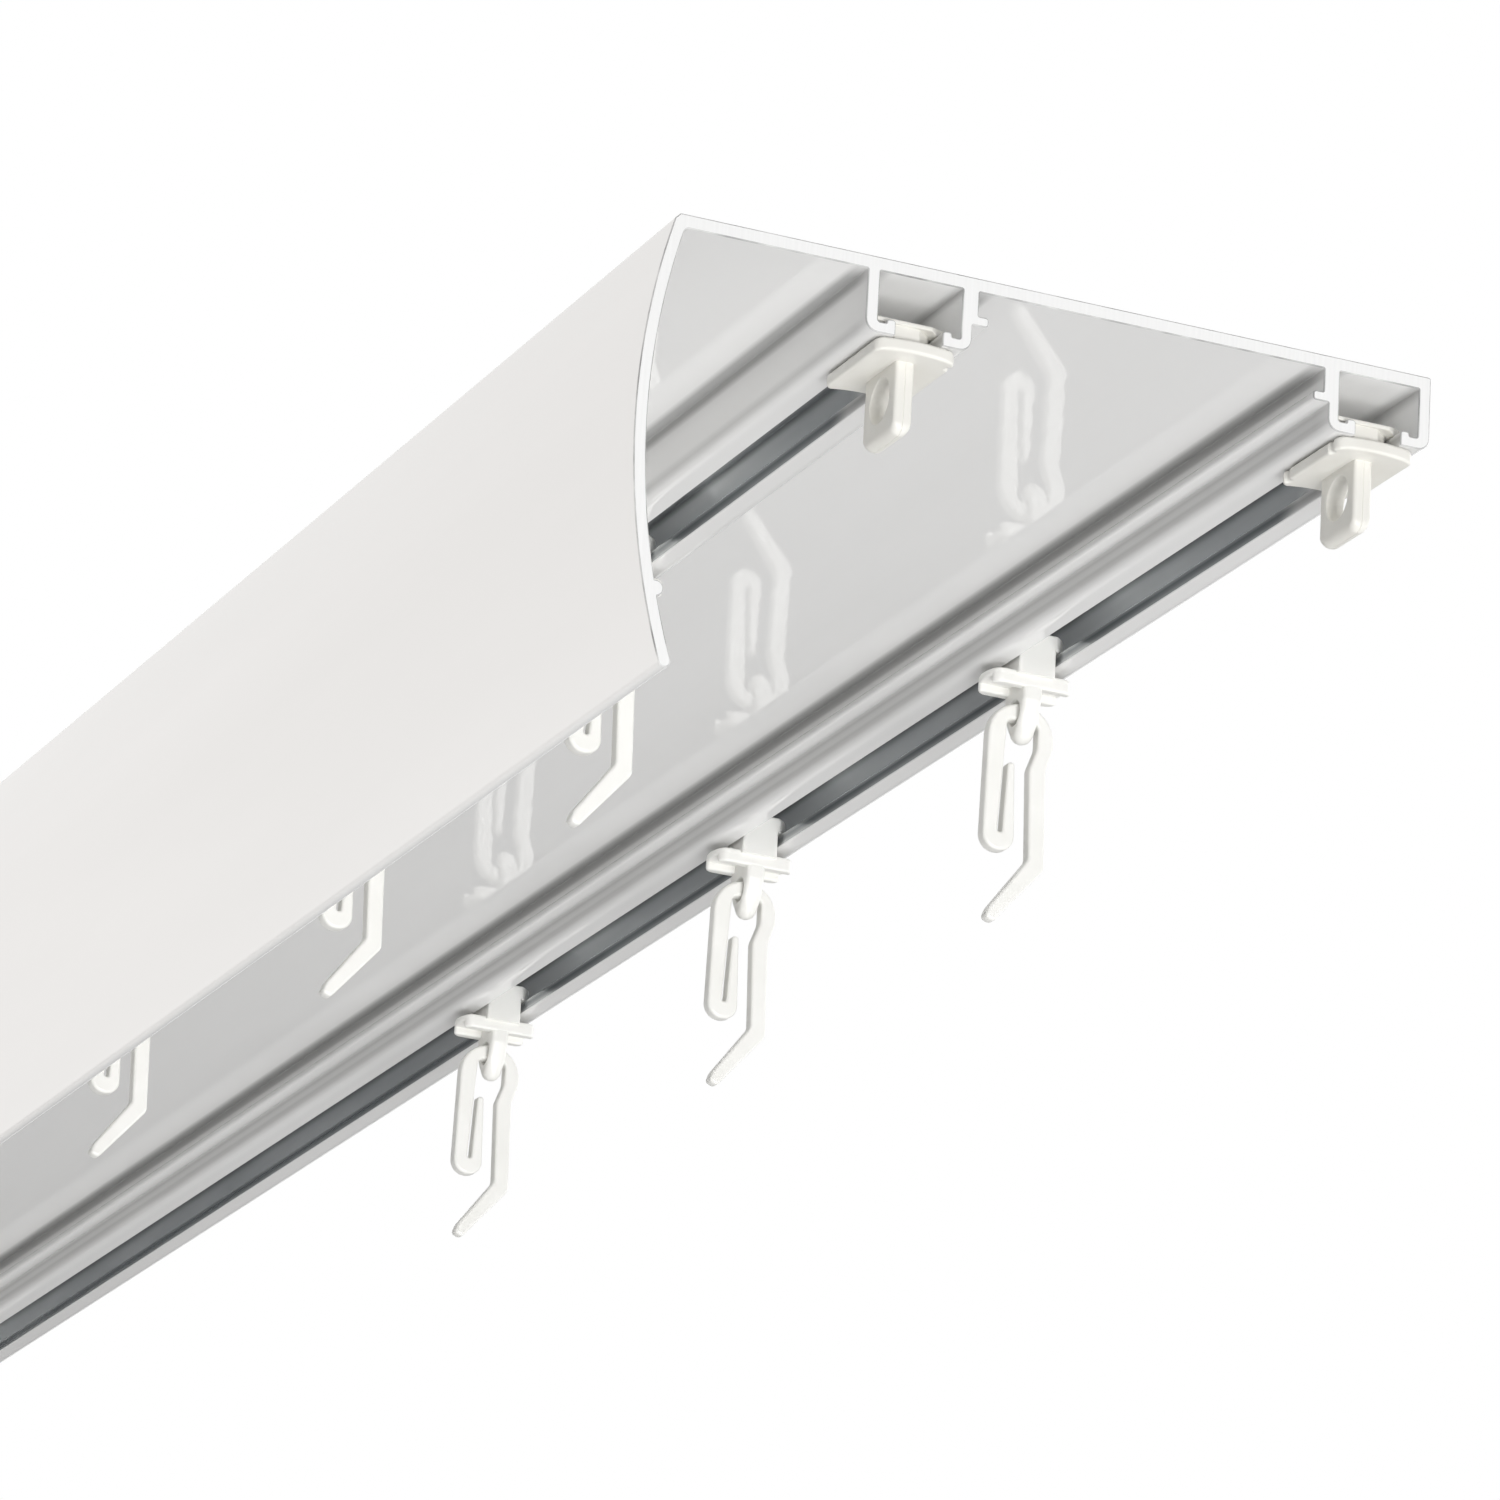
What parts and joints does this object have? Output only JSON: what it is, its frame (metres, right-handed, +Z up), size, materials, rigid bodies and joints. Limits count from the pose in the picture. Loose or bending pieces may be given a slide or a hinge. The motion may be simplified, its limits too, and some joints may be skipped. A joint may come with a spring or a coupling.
{
  "type": "curtain track",
  "caption": "Ceiling curtain track with a bowed fascia, two parallel runs, sliding gliders with swinging hooks, and end stops.",
  "frame": {"origin": "centre of the flat face that lies against the ceiling", "axes": "+X along the track towards its right-hand end, the fascia faces -Y into the room, +Z up to the ceiling"},
  "size_m": [0.6, 0.1015, 0.055],
  "materials": {
    "white_profile": "white powder coat",
    "stop_plastic": "moulded",
    "glider_plastic": "moulded",
    "hook_plastic": "moulded"
  },
  "bodies": {
    "track": {"track_profile": "white_profile", "end_stop_front_right": "stop_plastic", "end_stop_front_left": "stop_plastic", "end_stop_rear_right": "stop_plastic", "end_stop_rear_left": "stop_plastic"},
    "glider_front_1": {"glider_front_1": "glider_plastic"},
    "hook_front_1": {"hook_front_1": "hook_plastic"},
    "glider_front_2": {"glider_front_2": "glider_plastic"},
    "hook_front_2": {"hook_front_2": "hook_plastic"},
    "glider_front_3": {"glider_front_3": "glider_plastic"},
    "hook_front_3": {"hook_front_3": "hook_plastic"},
    "glider_front_4": {"glider_front_4": "glider_plastic"},
    "hook_front_4": {"hook_front_4": "hook_plastic"},
    "glider_rear_1": {"glider_rear_1": "glider_plastic"},
    "hook_rear_1": {"hook_rear_1": "hook_plastic"},
    "glider_rear_2": {"glider_rear_2": "glider_plastic"},
    "hook_rear_2": {"hook_rear_2": "hook_plastic"},
    "glider_rear_3": {"glider_rear_3": "glider_plastic"},
    "hook_rear_3": {"hook_rear_3": "hook_plastic"},
    "glider_rear_4": {"glider_rear_4": "glider_plastic"},
    "hook_rear_4": {"hook_rear_4": "hook_plastic"}
  },
  "joints": [
    {"name": "glider_front_1_slide", "type": "slide", "parent": "track", "child": "glider_front_1", "axis": [1, 0, 0], "range_m": [-0.0779, 0.07075]},
    {"name": "hook_front_1_swing", "type": "hinge", "parent": "glider_front_1", "child": "hook_front_1", "pos_m": [0.2096, -0.01815, -0.01545], "axis": [0, 1, 0], "range_deg": [-98, 98]},
    {"name": "glider_front_2_slide", "type": "slide", "parent": "track", "child": "glider_front_2", "axis": [1, 0, 0], "range_m": [-0.085, 0.0779]},
    {"name": "hook_front_2_swing", "type": "hinge", "parent": "glider_front_2", "child": "hook_front_2", "pos_m": [0.1235, -0.01815, -0.01545], "axis": [0, 1, 0], "range_deg": [-98, 98]},
    {"name": "glider_front_3_slide", "type": "slide", "parent": "track", "child": "glider_front_3", "axis": [1, 0, 0], "range_m": [-0.2741, 0.085]},
    {"name": "hook_front_3_swing", "type": "hinge", "parent": "glider_front_3", "child": "hook_front_3", "pos_m": [0.0303, -0.01815, -0.01545], "axis": [0, 1, 0], "range_deg": [-98, 98]},
    {"name": "glider_front_4_slide", "type": "slide", "parent": "track", "child": "glider_front_4", "axis": [1, 0, 0], "range_m": [-0.02835, 0.2741]},
    {"name": "hook_front_4_swing", "type": "hinge", "parent": "glider_front_4", "child": "hook_front_4", "pos_m": [-0.252, -0.01815, -0.01545], "axis": [0, 1, 0], "range_deg": [-98, 98]},
    {"name": "glider_rear_1_slide", "type": "slide", "parent": "track", "child": "glider_rear_1", "axis": [1, 0, 0], "range_m": [-0.08, 0.07715]},
    {"name": "hook_rear_1_swing", "type": "hinge", "parent": "glider_rear_1", "child": "hook_rear_1", "pos_m": [0.2032, 0.04185, -0.01545], "axis": [0, 1, 0], "range_deg": [-98, 98]},
    {"name": "glider_rear_2_slide", "type": "slide", "parent": "track", "child": "glider_rear_2", "axis": [1, 0, 0], "range_m": [-0.0858, 0.08]},
    {"name": "hook_rear_2_swing", "type": "hinge", "parent": "glider_rear_2", "child": "hook_rear_2", "pos_m": [0.115, 0.04185, -0.01545], "axis": [0, 1, 0], "range_deg": [-98, 98]},
    {"name": "glider_rear_3_slide", "type": "slide", "parent": "track", "child": "glider_rear_3", "axis": [1, 0, 0], "range_m": [-0.2648, 0.0858]},
    {"name": "hook_rear_3_swing", "type": "hinge", "parent": "glider_rear_3", "child": "hook_rear_3", "pos_m": [0.021, 0.04185, -0.01545], "axis": [0, 1, 0], "range_deg": [-98, 98]},
    {"name": "glider_rear_4_slide", "type": "slide", "parent": "track", "child": "glider_rear_4", "axis": [1, 0, 0], "range_m": [-0.02835, 0.2648]},
    {"name": "hook_rear_4_swing", "type": "hinge", "parent": "glider_rear_4", "child": "hook_rear_4", "pos_m": [-0.252, 0.04185, -0.01545], "axis": [0, 1, 0], "range_deg": [-98, 98]}
  ]
}
